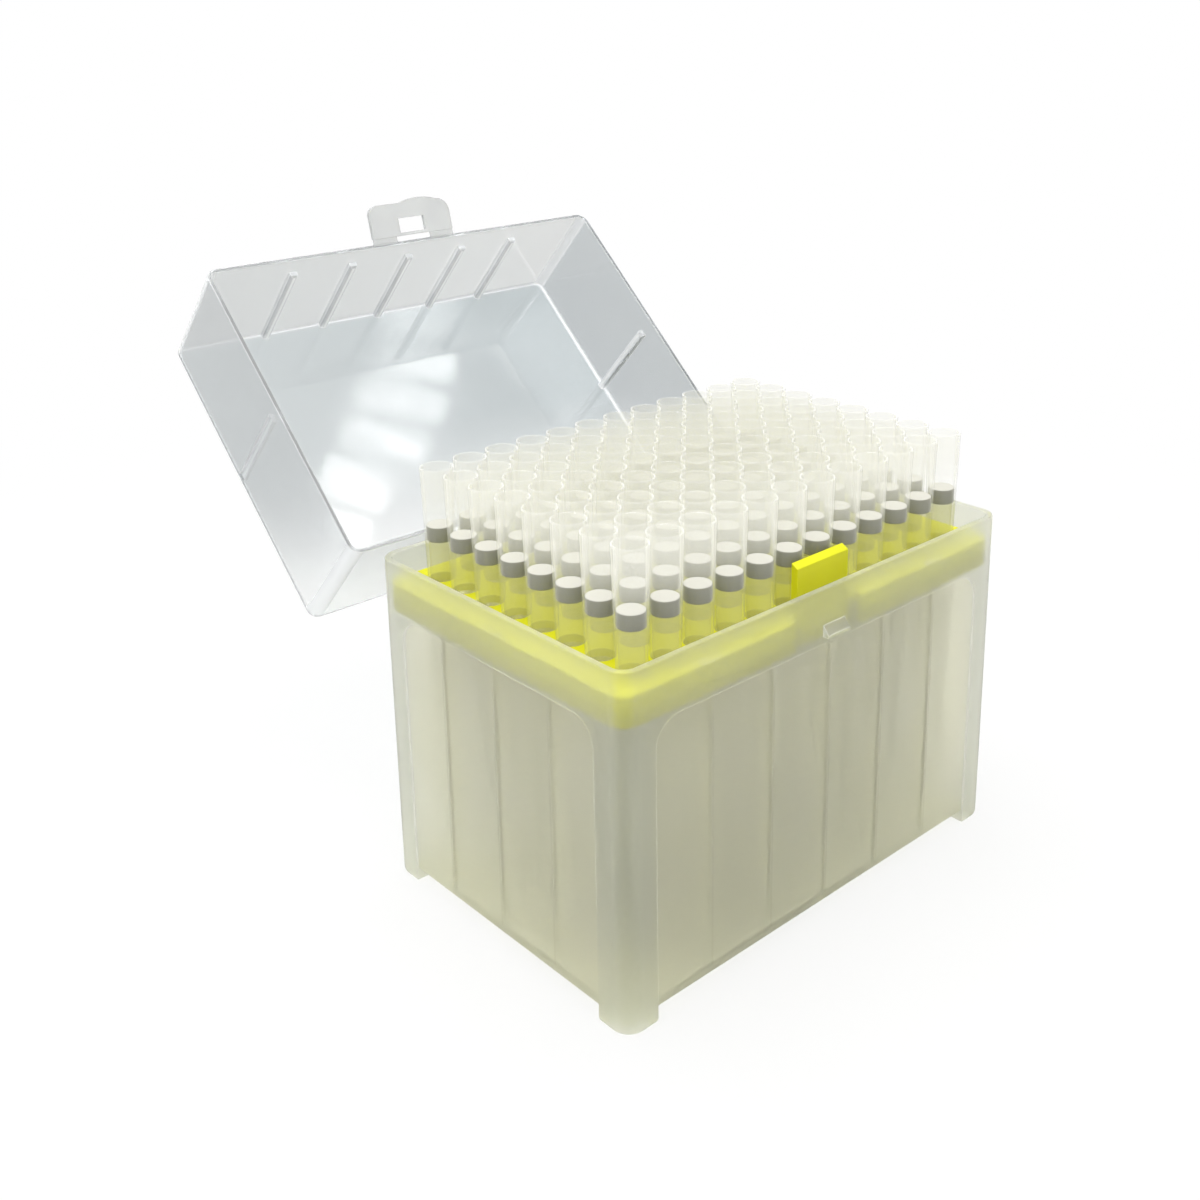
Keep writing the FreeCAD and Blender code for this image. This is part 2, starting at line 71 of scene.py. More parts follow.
class Wiring:
    """A node tree under construction, with short ways to add and join its nodes."""

    def __init__(self, tree: bpy.types.NodeTree) -> None:
        """Takes over a node tree and empties it.

        Args:
            tree: The tree of a material or of the world.
        """
        self.tree = tree
        self.tree.nodes.clear()

    def add(self, kind: str, options: dict | None = None, **sockets: object) -> bpy.types.Node:
        """Adds a node and sets it up.

        Args:
            kind: The node's type without the ShaderNode prefix.
            options: Attributes of the node itself.
            sockets: Input values or output sockets, by the input's name with _ for spaces.

        Returns:
            The new node.
        """
        node = self.tree.nodes.new("ShaderNode" + kind)
        for key, value in (options or {}).items():
            setattr(node, key, value)
        for key, value in sockets.items():
            self.feed(node, key.replace("_", " "), value)
        return node

    def feed(self, node: bpy.types.Node, name: str | int, value: object) -> None:
        """Gives one input a constant or joins an output to it.

        Args:
            node: The node that takes the value.
            name: The input's name or index.
            value: A number, a colour or an output socket, or None to leave the input as it is.
        """
        if value is None:
            return
        socket = node.inputs[name]
        if isinstance(value, bpy.types.NodeSocket):
            self.tree.links.new(value, socket)
        elif isinstance(value, tuple) and len(value) == 3 and socket.type == "RGBA":
            socket.default_value = (*value, 1.0)
        else:
            socket.default_value = value

    def between(
        self, value: object, low: float, high: float, start: float = 0.35, end: float = 0.65
    ) -> bpy.types.NodeSocket:
        """Maps a value on to a smooth range. The defaults suit noise, which seldom leaves them.

        Args:
            value: The value to map.
            low: Result where the value is at start or under.
            high: Result where the value is at end or over.
            start: Where the range starts.
            end: Where the range ends.

        Returns:
            The mapped output.
        """
        node = self.add("MapRange", {"interpolation_type": "SMOOTHSTEP"})
        for index, number in enumerate((value, start, end, low, high)):
            self.feed(node, index, number)
        return node.outputs[0]

    def math(self, operation: str, first: object, second: object = 0.0) -> bpy.types.NodeSocket:
        """Works out one number from two.

        Args:
            operation: The Math node's operation.
            first: A number or an output socket.
            second: A number or an output socket.

        Returns:
            The result.
        """
        node = self.add("Math", {"operation": operation})
        self.feed(node, 0, first)
        self.feed(node, 1, second)
        return node.outputs[0]

    def length(self, vector: object) -> bpy.types.NodeSocket:
        """How long a vector is.

        Args:
            vector: An output socket.

        Returns:
            Its length.
        """
        node = self.add("VectorMath", {"operation": "LENGTH"})
        self.feed(node, 0, vector)
        return node.outputs["Value"]

    def weigh(self, factor: object, first: object, second: object) -> bpy.types.NodeSocket:
        """Mixes two numbers by a factor.

        Args:
            factor: 0 for the first number and 1 for the second.
            first: A number or an output socket.
            second: A number or an output socket.

        Returns:
            The mixed number.
        """
        node = self.add("Mix", {"data_type": "FLOAT"})
        self.feed(node, 0, factor)
        self.feed(node, 2, first)
        self.feed(node, 3, second)
        return node.outputs[0]

    def blend(self, factor: object, first: object, second: object) -> bpy.types.NodeSocket:
        """Mixes two colours by a factor.

        Args:
            factor: 0 for the first colour and 1 for the second.
            first: A colour or an output socket.
            second: A colour or an output socket.

        Returns:
            The mixed colour.
        """
        node = self.add("Mix", {"data_type": "RGBA"})
        self.feed(node, 0, factor)
        self.feed(node, 6, first)
        self.feed(node, 7, second)
        return node.outputs[2]

    def overlay(self, share: object, under: object, over: object) -> bpy.types.NodeSocket:
        """Mixes two shaders.

        Args:
            share: How much of the upper one shows, from 0 to 1.
            under: The lower shader.
            over: The upper shader.

        Returns:
            The mixed shader.
        """
        node = self.add("MixShader")
        for index, value in enumerate((share, under, over)):
            self.feed(node, index, value)
        return node.outputs[0]


class Recipe(Wiring):
    """A material under construction."""

    def __init__(self, name: str) -> None:
        """Starts an empty material.

        Args:
            name: The material's name.
        """
        self.material = bpy.data.materials.new(name)
        self.material.use_nodes = True
        super().__init__(self.material.node_tree)

    def position(self) -> bpy.types.NodeSocket:
        """Object coordinates, in metres."""
        return self.add("TexCoord").outputs["Object"]

    def axes(self) -> list[bpy.types.NodeSocket]:
        """Object coordinates along x, y and z, in metres."""
        return list(self.add("SeparateXYZ", Vector=self.position()).outputs)

    def rise(self, heights_mm: Span) -> bpy.types.NodeSocket:
        """How far up a point is from one height to another.

        Args:
            heights_mm: The two heights.

        Returns:
            0 below the first height and 1 above the second.
        """
        return self.between(self.axes()[2], 0.0, 1.0, *(height * MM for height in heights_mm))

    def noise(self, size_mm: float, detail: float) -> bpy.types.NodeSocket:
        """Noise whose blobs are about size_mm across.

        Args:
            size_mm: The size of one blob.
            detail: How many finer layers are added.

        Returns:
            The noise value, from 0 to 1.
        """
        node = self.add("TexNoise", Vector=self.position(), Scale=1 / (size_mm * MM), Detail=detail)
        return node.outputs["Fac"]

    def relief(self, size_mm: float, depth_mm: float, under: object = None) -> bpy.types.NodeSocket | None:
        """Uneven surface, left out where it has no depth.

        Args:
            size_mm: The size of one swelling.
            depth_mm: How far the swellings stand over the hollows.
            under: A normal from a coarser relief.

        Returns:
            The bent normal, or what lies under where there is no depth.
        """
        if not depth_mm:
            return under
        node = self.add("Bump", Height=self.noise(size_mm, 0.0), Distance=depth_mm * MM, Normal=under)
        return node.outputs[0]

    def let_lamps_through(self, shader: object, tint: Colour) -> bpy.types.NodeSocket:
        """Lets direct light pass a clear or milky wall, tinted.

        Args:
            shader: The wall's own shader.
            tint: What one face of the wall passes.

        Returns:
            The mixed shader.
        """
        clear = self.add("BsdfTransparent", Color=tint).outputs[0]
        return self.overlay(self.add("LightPath").outputs["Is Shadow Ray"], shader, clear)

    def close(self, shader: bpy.types.NodeSocket) -> bpy.types.Material:
        """Joins the shader to the output.

        Args:
            shader: The finished shader.

        Returns:
            The material.
        """
        self.add("OutputMaterial", Surface=shader)
        return self.material


# ---- finishes ----


class MouldSurface(Enum):
    """How the steel of a mould was finished.

    Attributes:
        smooth: Roughness where the part is glossiest.
        rough: Roughness where it is dullest.
        grain_mm: Size of one grain.
        height_mm: Height of the grain.
    """

    POLISHED = (0.05, 0.09, 2.0, 0.0)
    BRUSHED = (0.14, 0.24, 0.8, 0.003)
    SATIN = (0.34, 0.46, 0.35, 0.008)
    ERODED = (0.52, 0.60, 0.5, 0.0)

    def __init__(self, smooth: float, rough: float, grain_mm: float, height_mm: float) -> None:
        """Names the numbers of one surface.

        Args:
            smooth: Roughness where the part is glossiest.
            rough: Roughness where it is dullest.
            grain_mm: Size of one grain.
            height_mm: Height of the grain.
        """
        self.smooth = smooth
        self.rough = rough
        self.grain_mm = grain_mm
        self.height_mm = height_mm


@dataclass(frozen=True)
class SeeThroughPlastic:
    """Natural polypropylene, from clear to milky.

    Attributes:
        name: Material name.
        tint: Colour of the plastic.
        deep_tint: Colour where the melt flowed thicker.
        clear_share: Share of light that goes on through a face.
        surface: Finish of the mould it came from.
        wave_mm: Size and height of the slow waves in the surface.
        lamp_tint: What one face passes of direct light.
        ior: How strongly it bends light.
        flow_waves: Size of the melt's slow variation, in waves.
    """

    name: str
    tint: Colour
    deep_tint: Colour
    clear_share: float
    surface: MouldSurface
    wave_mm: Span
    lamp_tint: Colour
    ior: float = POLYPROPYLENE_IOR
    flow_waves: float = 1.7

    def coloured(self, recipe: Recipe, flow: object) -> bpy.types.NodeSocket:
        """The plastic's colour.

        Args:
            recipe: The material under construction.
            flow: How thick the melt flowed, from 0 to 1.

        Returns:
            The colour.
        """
        return recipe.blend(recipe.between(flow, 0.0, 1.0), self.tint, self.deep_tint)

    def build(self) -> bpy.types.Material:
        """Makes the material."""
        recipe = Recipe(self.name)
        flow = recipe.noise(self.wave_mm[0] * self.flow_waves, 1.0)
        waves = recipe.relief(*self.wave_mm)
        body = recipe.add(
            "BsdfPrincipled",
            Base_Color=self.coloured(recipe, flow),
            Roughness=recipe.between(flow, self.surface.smooth, self.surface.rough),
            IOR=self.ior,
            Transmission_Weight=self.clear_share,
            Normal=recipe.relief(self.surface.grain_mm, self.surface.height_mm, waves),
        )
        return recipe.close(recipe.let_lamps_through(body.outputs[0], self.lamp_tint))


@dataclass(frozen=True)
class LitAndShadedPlastic(SeeThroughPlastic):
    """Clear plastic with painted light and shade: lighter low down, and turning slowly from one grey tint to
    another along X.

    Attributes:
        painted_low_light: Painted light low down.
        low_light_mm: Heights between which the painted light turns into the main colour.
        half_length_mm: How far from the middle it goes, from the main colour to the deep one.
    """

    painted_low_light: Colour = (0.93, 0.935, 0.93)
    low_light_mm: Span = (52.0, 86.0)
    half_length_mm: float = 62.0

    def coloured(self, recipe: Recipe, flow: object) -> bpy.types.NodeSocket:
        """The plastic's colour, with painted light low down.

        Args:
            recipe: The material under construction.
            flow: Not used.

        Returns:
            The colour.
        """
        end = self.half_length_mm * MM
        along = recipe.between(recipe.axes()[0], 0.0, 1.0, -end, end)
        main = recipe.blend(along, self.tint, self.deep_tint)
        # Painted light low down, over the grey tints of painted shade.
        return recipe.blend(recipe.rise(self.low_light_mm), self.painted_low_light, main)


@dataclass(frozen=True)
class RibbedPlastic(SeeThroughPlastic):
    """Milky wall with an arched thinner panel on each side, with painted shade along each rib's root and
    towards the foot.

    Attributes:
        wall_mm: How far the walls stand from the middle, along x and along y.
        arch_mm: How far a panel reaches from the middle along x and y, its top and its corner radius.
        post_tint: Colour of the thicker corner posts round the panels.
        step_mm: Half the width of the step between them.
        rib_pitch_mm: Spacing of the ribs, from the middle of the wall.
        ribs_reach_mm: How far the ribs go from the middle, along x and along y.
        ribs_foot_mm: Lowest point of the ribs.
        ribs_top_mm: Heights between which the lines fade out.
        hairline_mm: Distances from a rib's root between which its line fades out.
        rib_root_shade: Painted shade of the lines over the rib roots.
        shaded_foot_tint: Painted shade at the foot of the walls.
        foot_mm: Heights between which the foot's colour fades out.
    """

    wall_mm: Span = (60.1, 40.3)
    arch_mm: tuple[float, float, float, float] = (51.9, 32.15, 67.5, 6.0)
    post_tint: Colour = (0.825, 0.83, 0.765)
    step_mm: float = 0.8
    rib_pitch_mm: float = 18.0
    ribs_reach_mm: Span = (45.0, 27.0)
    ribs_foot_mm: float = 5.5
    ribs_top_mm: Span = (62.0, 66.0)
    hairline_mm: Span = (0.1125, 0.45)
    rib_root_shade: Colour = (0.81, 0.80, 0.71)
    shaded_foot_tint: Colour = (0.88, 0.875, 0.79)
    foot_mm: Span = (2.0, 30.0)

    def past_arch(self, recipe: Recipe) -> bpy.types.NodeSocket:
        """How far a point lies outside the arched panel of its wall.

        Args:
            recipe: The material under construction.

        Returns:
            The distance in metres, negative inside.
        """
        x, y, z = recipe.axes()
        across = [recipe.math("ABSOLUTE", axis) for axis in (x, y)]
        past_wall = [recipe.math("SUBTRACT", a, wall * MM) for a, wall in zip(across, self.wall_mm)]
        on_end = recipe.math("GREATER_THAN", *past_wall)
        reach_x, reach_y, top, radius = (part * MM for part in self.arch_mm)
        past_x = recipe.math("SUBTRACT", across[0], reach_x - radius)
        past_y = recipe.math("SUBTRACT", across[1], reach_y - radius)
        outward = recipe.weigh(on_end, past_x, past_y)
        upward = recipe.math("SUBTRACT", z, top - radius)
        corner = recipe.add(
            "CombineXYZ", X=recipe.math("MAXIMUM", outward, 0.0), Y=recipe.math("MAXIMUM", upward, 0.0)
        )
        inside = recipe.math("MINIMUM", recipe.math("MAXIMUM", outward, upward), 0.0)
        past_centre = recipe.math("ADD", recipe.length(corner.outputs[0]), inside)
        return recipe.math("SUBTRACT", past_centre, radius)

    def hairlines(self, recipe: Recipe) -> bpy.types.NodeSocket:
        """Where the lines over the rib roots run.

        Args:
            recipe: The material under construction.

        Returns:
            1 on a line and 0 off it.
        """
        *level, z = recipe.axes()
        core, edge = (distance * MM for distance in self.hairline_mm)
        lines = []
        for axis, reach in zip(level, self.ribs_reach_mm):
            away = recipe.math("ABSOLUTE", axis)
            near_rib = recipe.math("PINGPONG", away, self.rib_pitch_mm / 2 * MM)
            line = recipe.between(near_rib, 1.0, 0.0, core, edge)
            lines.append(recipe.math("MULTIPLY", line, recipe.math("LESS_THAN", away, reach * MM)))
        over_foot = recipe.math("GREATER_THAN", z, self.ribs_foot_mm * MM)
        under_band = recipe.between(z, 1.0, 0.0, *(height * MM for height in self.ribs_top_mm))
        tall = recipe.math("MULTIPLY", over_foot, under_band)
        return recipe.math("MULTIPLY", recipe.math("MAXIMUM", *lines), tall)

    def coloured(self, recipe: Recipe, flow: object) -> bpy.types.NodeSocket:
        """The plastic's colour, greyer on the posts, with painted shade at the foot and along the rib roots.

        Args:
            recipe: The material under construction.
            flow: How thick the melt flowed, from 0 to 1.

        Returns:
            The colour.
        """
        width = self.step_mm * MM
        post = recipe.between(self.past_arch(recipe), 0.0, 1.0, -width, width)
        # Painted shade: darker towards the foot of the walls.
        wall = recipe.blend(recipe.rise(self.foot_mm), self.shaded_foot_tint, super().coloured(recipe, flow))
        framed = recipe.blend(post, wall, self.post_tint)
        # Painted shade in a hairline over each rib's root.
        return recipe.blend(self.hairlines(recipe), framed, self.rib_root_shade)


@dataclass(frozen=True)
class HazyShell:
    """Thin-walled clear plastic with a faint haze, denser where the wall is seen on edge, with painted shade
    there and painted yellow light from the rack under the filter.

    Attributes:
        name: Material name.
        haze: Colour of the haze.
        edge_shade: Painted shade where the wall is seen on edge.
        painted_rack_glow: Its colour under the filter, painted yellow light from the rack.
        share: Share of the haze on a wall seen straight on and on edge.
        plug_share: The same round the filter.
        seat_share: The same under the filter.
        plug_mm: Heights between which the wall thickens, from the filter's seat up.
        surface: Finish of the mould it came from.
        gloss: Strength of its mirror.
        turned: How far a wall is turned away where its share starts and stops growing.
        on_edge: How far it is turned away where its colour starts and stops changing.
    """

    name: str
    haze: Colour
    edge_shade: Colour
    painted_rack_glow: Colour
    share: Span
    plug_share: Span
    seat_share: Span
    plug_mm: Span = (83.6, 96.0)
    surface: MouldSurface = MouldSurface.POLISHED
    gloss: float = 0.6
    turned: Span = (0.3, 1.0)
    on_edge: Span = (0.72, 0.95)

    def build(self) -> bpy.types.Material:
        """Makes the material."""
        recipe = Recipe(self.name)
        away = recipe.add("LayerWeight", Blend=0.5).outputs["Facing"]
        thick = recipe.rise(self.plug_mm)
        over_seat = recipe.math("GREATER_THAN", thick, 0.0)
        # Under the filter the haze takes painted yellow light from the rack.
        haze = recipe.blend(over_seat, self.painted_rack_glow, self.haze)
        body = recipe.add(
            "BsdfPrincipled",
            # Painted shade where the wall is seen on edge.
            Base_Color=recipe.blend(recipe.between(away, 0.0, 1.0, *self.on_edge), haze, self.edge_shade),
            Roughness=self.surface.rough,
            IOR=POLYPROPYLENE_IOR,
            Specular_IOR_Level=self.gloss,
        )
        seat, plug, full = (
            recipe.between(away, *share, *self.turned)
            for share in (self.seat_share, self.plug_share, self.share)
        )
        share = recipe.weigh(over_seat, seat, recipe.weigh(thick, plug, full))
        clear = recipe.add("BsdfTransparent").outputs[0]
        return recipe.close(recipe.overlay(share, clear, body.outputs[0]))


@dataclass(frozen=True)
class ShadedShank:
    """Thick end of a tip below the rack, drawn opaque; its grey is partly the tip's haze and partly painted
    shade for the dim inside of the base.

    Attributes:
        name: Material name.
        colour: Main colour, darkened as painted shade.
        shade: Colour in the slow variation of the melt.
        shaded_end_colour: Painted shade, darker towards the narrow end.
        end_mm: Heights between which the end's colour fades out.
        melt_mm: Size of the melt's slow variation.
        roughness: How dull it is.
    """

    name: str
    colour: Colour
    shade: Colour
    shaded_end_colour: Colour
    end_mm: Span = (6.0, 52.0)
    melt_mm: float = 5.0
    roughness: float = 0.45

    def build(self) -> bpy.types.Material:
        """Makes the material."""
        recipe = Recipe(self.name)
        melt = recipe.between(recipe.noise(self.melt_mm, 0.0), 0.0, 1.0)
        main = recipe.blend(melt, self.colour, self.shade)
        body = recipe.add(
            "BsdfPrincipled",
            # Painted shade: darker towards the narrow end.
            Base_Color=recipe.blend(recipe.rise(self.end_mm), self.shaded_end_colour, main),
            Roughness=self.roughness,
            IOR=POLYPROPYLENE_IOR,
        )
        return recipe.close(body.outputs[0])


@dataclass(frozen=True)
class SolidPlastic:
    """Coloured polypropylene with a satin grain, which lets a little light on, and painted shade at the foot
    of its skirt.

    Attributes:
        name: Material name.
        colour: Main colour.
        shade: Colour in the slow variation of the melt.
        surface: Finish of the mould it came from.
        clear_share: Share of light that goes on through a face.
        shaded_foot_colour: Painted shade at the foot of its skirt, where it turns under.
        foot_mm: Heights between which the foot's colour fades out.
        melt_mm: Size of the melt's slow variation.
        sheen_mm: Size of the variation in roughness.
        gloss: Strength of its mirror.
    """

    name: str
    colour: Colour
    shade: Colour
    surface: MouldSurface
    clear_share: float
    shaded_foot_colour: Colour
    foot_mm: Span
    melt_mm: float = 14.0
    sheen_mm: float = 3.0
    gloss: float = 0.15

    def build(self) -> bpy.types.Material:
        """Makes the material."""
        recipe = Recipe(self.name)
        melt = recipe.between(recipe.noise(self.melt_mm, 1.0), 0.0, 1.0)
        main = recipe.blend(melt, self.colour, self.shade)
        sheen = recipe.noise(self.sheen_mm, 0.0)
        body = recipe.add(
            "BsdfPrincipled",
            # Painted shade: darker towards the foot of the skirt.
            Base_Color=recipe.blend(recipe.rise(self.foot_mm), self.shaded_foot_colour, main),
            Roughness=recipe.between(sheen, self.surface.smooth, self.surface.rough),
            IOR=POLYPROPYLENE_IOR,
            Specular_IOR_Level=self.gloss,
            Transmission_Weight=self.clear_share,
            Normal=recipe.relief(self.surface.grain_mm, self.surface.height_mm),
        )
        return recipe.close(body.outputs[0])


@dataclass(frozen=True)
class PorousPlug:
    """Sintered white filter material, with painted shade on its sides, which get less light than its top.

    Attributes:
        name: Material name.
        top: Colour of the open end faces.
        shaded_side: Painted shade on the sides.
        turned: How far a face points up where it is all side and all top.
        grain_mm: Size and height of its grains.
        roughness: How dull it is.
    """

    name: str
    top: Colour
    shaded_side: Colour
    turned: Span = (0.3, 0.75)
    grain_mm: Span = (0.35, 0.06)
    roughness: float = 0.85

    def build(self) -> bpy.types.Material:
        """Makes the material."""
        recipe = Recipe(self.name)
        facing = recipe.add("SeparateXYZ", Vector=recipe.add("NewGeometry").outputs["Normal"])
        upward = recipe.between(facing.outputs["Z"], 0.0, 1.0, *self.turned)
        body = recipe.add(
            "BsdfPrincipled",
            # The sides take painted shade; the top keeps the filter's own colour.
            Base_Color=recipe.blend(upward, self.shaded_side, self.top),
            Roughness=self.roughness,
            Normal=recipe.relief(*self.grain_mm),
        )
        return recipe.close(body.outputs[0])


@dataclass(frozen=True)
class StudioPaper:
    """Floor that looks white and keeps a soft shadow near the box.

    Attributes:
        name: Material name.
        colour: What lamps light.
        glow: Share of plain white that the camera sees, near the box and far off.
        camera_reach: Distances between which that share grows, in metres.
        plastic_reach: The same for what is seen in gloss and through plastic, from none to all.
    """

    name: str
    colour: Colour
    glow: Span
    camera_reach: Span
    plastic_reach: Span

    def build(self) -> bpy.types.Material:
        """Makes the material."""
        recipe = Recipe(self.name)
        path = recipe.add("LightPath")
        distance = recipe.length(recipe.position())
        to_camera = recipe.between(distance, *self.glow, *self.camera_reach)
        to_plastic = recipe.between(distance, 0.0, 1.0, *self.plastic_reach)
        shader = recipe.add("BsdfDiffuse", Color=self.colour).outputs[0]
        white = recipe.add("Emission", Color=WHITE).outputs[0]
        shares = {"Is Camera Ray": to_camera, "Is Transmission Ray": to_plastic, "Is Glossy Ray": to_plastic}
        for ray, share in shares.items():
            shader = recipe.overlay(recipe.math("MULTIPLY", path.outputs[ray], share), shader, white)
        return recipe.close(shader)


@dataclass(frozen=True)
class Finishes:
    """Every finish on the box, made once."""

    # Milky base, with painted shade along its rib roots and towards its foot.
    base: RibbedPlastic = RibbedPlastic(
        "milky_base", (0.945, 0.937, 0.845), (0.915, 0.907, 0.805), 0.92,
        MouldSurface.ERODED, (16.0, 0.0), (0.90, 0.90, 0.82), 1.28,
    )
    # Painted highlight: whiter, less clear edges round the base.
    base_edge: SeeThroughPlastic = SeeThroughPlastic(
        "milky_base_edge", (0.88, 0.88, 0.84), (0.86, 0.86, 0.82), 0.50,
        MouldSurface.ERODED, (16.0, 0.0), (0.86, 0.87, 0.83), 1.3,
    )
    # Lid walls: grey tints of painted shade, lighter on the fronts than on the sides and top, with painted
    # light low down.
    lid_panel: LitAndShadedPlastic = LitAndShadedPlastic(
        "glossy_lid_panel", (0.605, 0.635, 0.64), (0.515, 0.555, 0.565), 0.88,
        MouldSurface.POLISHED, (12.0, 0.02), (0.80, 0.82, 0.83),
    )
    lid_front: LitAndShadedPlastic = LitAndShadedPlastic(
        "glossy_lid_front", (0.78, 0.79, 0.79), (0.87, 0.875, 0.87), 0.84,
        MouldSurface.POLISHED, (12.0, 0.02), (0.82, 0.84, 0.85),
    )
    lid_side: LitAndShadedPlastic = LitAndShadedPlastic(
        "glossy_lid_side", (0.73, 0.745, 0.75), (0.62, 0.645, 0.655), 0.84,
        MouldSurface.POLISHED, (12.0, 0.02), (0.82, 0.84, 0.85),
    )
    lid_rib: SeeThroughPlastic = SeeThroughPlastic(
        "glossy_lid_rib", (0.90, 0.91, 0.915), (0.87, 0.88, 0.89), 0.45,
        MouldSurface.POLISHED, (8.0, 0.0), (0.86, 0.87, 0.88),
    )
    # Painted highlight: whiter fillets and edges on the lid.
    lid_fillet: SeeThroughPlastic = SeeThroughPlastic(
        "glossy_lid_fillet", (0.93, 0.94, 0.945), (0.91, 0.92, 0.93), 0.66,
        MouldSurface.POLISHED, (8.0, 0.0), (0.86, 0.87, 0.88),
    )
    lid_edge: SeeThroughPlastic = SeeThroughPlastic(
        "glossy_lid_edge", (0.96, 0.97, 0.975), (0.94, 0.95, 0.96), 0.55,
        MouldSurface.BRUSHED, (8.0, 0.0), (0.86, 0.87, 0.88),
    )
    latch: SeeThroughPlastic = SeeThroughPlastic(
        "satin_latch", (0.72, 0.73, 0.725), (0.69, 0.70, 0.70), 0.50,
        MouldSurface.BRUSHED, (6.0, 0.03), (0.80, 0.81, 0.82),
    )
    # The tip's second colour is painted shade on its edges, the third painted yellow light from the rack.
    tip: HazyShell = HazyShell(
        "hazy_tip", (0.985, 0.98, 0.895), (0.42, 0.43, 0.39), (0.72, 0.71, 0.32),
        (0.19, 0.60), (0.05, 0.34), (0.24, 0.48),
    )
    # Opaque grey ends of the tips: painted shade for the dim inside of the base, darker towards the narrow
    # end.
    shaded_shank: ShadedShank = ShadedShank(
        "shank_painted_shade", (0.48, 0.48, 0.415), (0.445, 0.445, 0.38), (0.31, 0.31, 0.265)
    )
    # The lip's second colour is painted shade on its edges.
    tip_lip: HazyShell = HazyShell(
        "hazy_tip_lip", (0.98, 0.985, 0.95), (0.62, 0.63, 0.60), (0.98, 0.985, 0.95),
        (0.17, 0.44), (0.17, 0.44), (0.17, 0.44),
    )
    # Yellow rack, with painted shade at the foot of its skirt.
    rack: SolidPlastic = SolidPlastic(
        "yellow_rack", (0.72, 0.715, 0.012), (0.68, 0.675, 0.010), MouldSurface.SATIN, 0.12,
        (0.54, 0.53, 0.02), (69.2, 71.8),
    )
    # The plug's second colour is painted shade for its sides.
    plug: PorousPlug = PorousPlug("porous_plug", (0.475, 0.465, 0.41), (0.20, 0.20, 0.16))
    floor: StudioPaper = StudioPaper(
        "studio_paper", (0.66, 0.66, 0.65), (0.80, 1.0), (0.15, 0.45), (0.10, 0.20)
    )


# ---- shared modelling ----


def new_object(
    name: str, mesh: bmesh.types.BMesh, smooth_deg: float, *materials: bpy.types.Material
) -> bpy.types.Object:
    """Turns a bmesh into a finished object at the origin.

    Args:
        name: The object's name.
        mesh: The modelled mesh, which is freed.
        smooth_deg: Edges sharper than this stay hard.
        materials: Its finishes, in the order of its faces' material numbers.

    Returns:
        The object.
    """
    data = bpy.data.meshes.new(name)
    mesh.to_mesh(data)
    mesh.free()
    for material in materials:
        data.materials.append(material)
    data.shade_smooth()
    data.set_sharp_from_angle(angle=math.radians(smooth_deg))
    thing = bpy.data.objects.new(name, data)
    bpy.context.scene.collection.objects.link(thing)
    flat = thing.modifiers.new("flat_faces_stay_flat", "WEIGHTED_NORMAL")
    flat.weight, flat.keep_sharp = 100, True
    return thing


def dress(thing: bpy.types.Object, body: str, slot: str, *nodes: str) -> bpy.types.Object:
    """Puts a finished piece on its body, in place of its CAD nodes.

    Args:
        thing: The piece.
        body: The body it moves with.
        slot: The material slot it belongs to; not used.
        nodes: CAD nodes that it stands for.

    Returns:
        The piece.
    """
    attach(thing, body)
    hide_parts(*nodes)
    log.info("%s: %d faces on %s", thing.name, len(thing.data.polygons), body)
    return thing


# ---- mouldings ----


@dataclass(frozen=True)
class Moulding:
    """A moulded piece: its CAD form with every hard edge broken.

    Attributes:
        node: The CAD node, which also names the material slot.
        body: The body it moves with.
        limits_mm2: Face areas at which the next finish starts, from the smallest faces up.
        edge_mm: Radius on the hard edges.
        edge_steps: Faces across a broken edge.
        hard_deg: Edges that fold by more than this are broken.
        smooth_deg: Edges that fold by more than this stay hard to the eye.
        weld_mm: Corners nearer than this are one corner.
        flat_deg: Faces that fold by less than this are one face.
    """

    node: str
    body: str
    limits_mm2: tuple[float, ...] = (0.0,)
    edge_mm: float = 0.12
    edge_steps: int = 2
    hard_deg: float = 35.0
    smooth_deg: float = 50.0
    weld_mm: float = 0.002
    flat_deg: float = 0.6

    def finishes(self, looks: Finishes) -> tuple[bpy.types.Material, ...]:
        """The piece's finishes.

        Args:
            looks: Every finish on the box.

        Returns:
            That of its broken edges first, then from its smallest faces to its largest.
        """
        raise NotImplementedError

    def mesh(self) -> bmesh.types.BMesh:
        """The merged form with softened edges."""
        form = bmesh.new()
        form.from_mesh(bpy.data.objects[self.node].data)
        bmesh.ops.remove_doubles(form, verts=form.verts[:], dist=self.weld_mm * MM)
        bmesh.ops.dissolve_limit(
            form, angle_limit=math.radians(self.flat_deg), verts=form.verts[:], edges=form.edges[:],
            use_dissolve_boundaries=False, delimit=set(),
        )
        for face in form.faces:
            area = face.calc_area()
            face.material_index = sum(area >= limit * MM * MM for limit in self.limits_mm2)
        sharp = math.radians(self.hard_deg)
        hard = [e for e in form.edges if len(e.link_faces) == 2 and e.calc_face_angle(0) > sharp]
        broken = bmesh.ops.bevel(
            form, geom=hard, offset=self.edge_mm * MM, offset_type="OFFSET", affect="EDGES",
            segments=self.edge_steps, profile=0.5, material=-1, clamp_overlap=False, miter_outer="SHARP",
        )
        # Broken edges take the first finish, which is a painted highlight on the base and the lid.
        for face in broken["faces"]:
            face.material_index = 0
        bmesh.ops.triangulate(form, faces=[f for f in form.faces if len(f.verts) > 4])
        return form

    def build(self, looks: Finishes) -> bpy.types.Object:
        """Makes the piece.

        Args:
            looks: Every finish on the box.

        Returns:
            The piece on its body.
        """
        thing = new_object(self.node + "_moulding", self.mesh(), self.smooth_deg, *self.finishes(looks))
        return dress(thing, self.body, self.node, self.node)


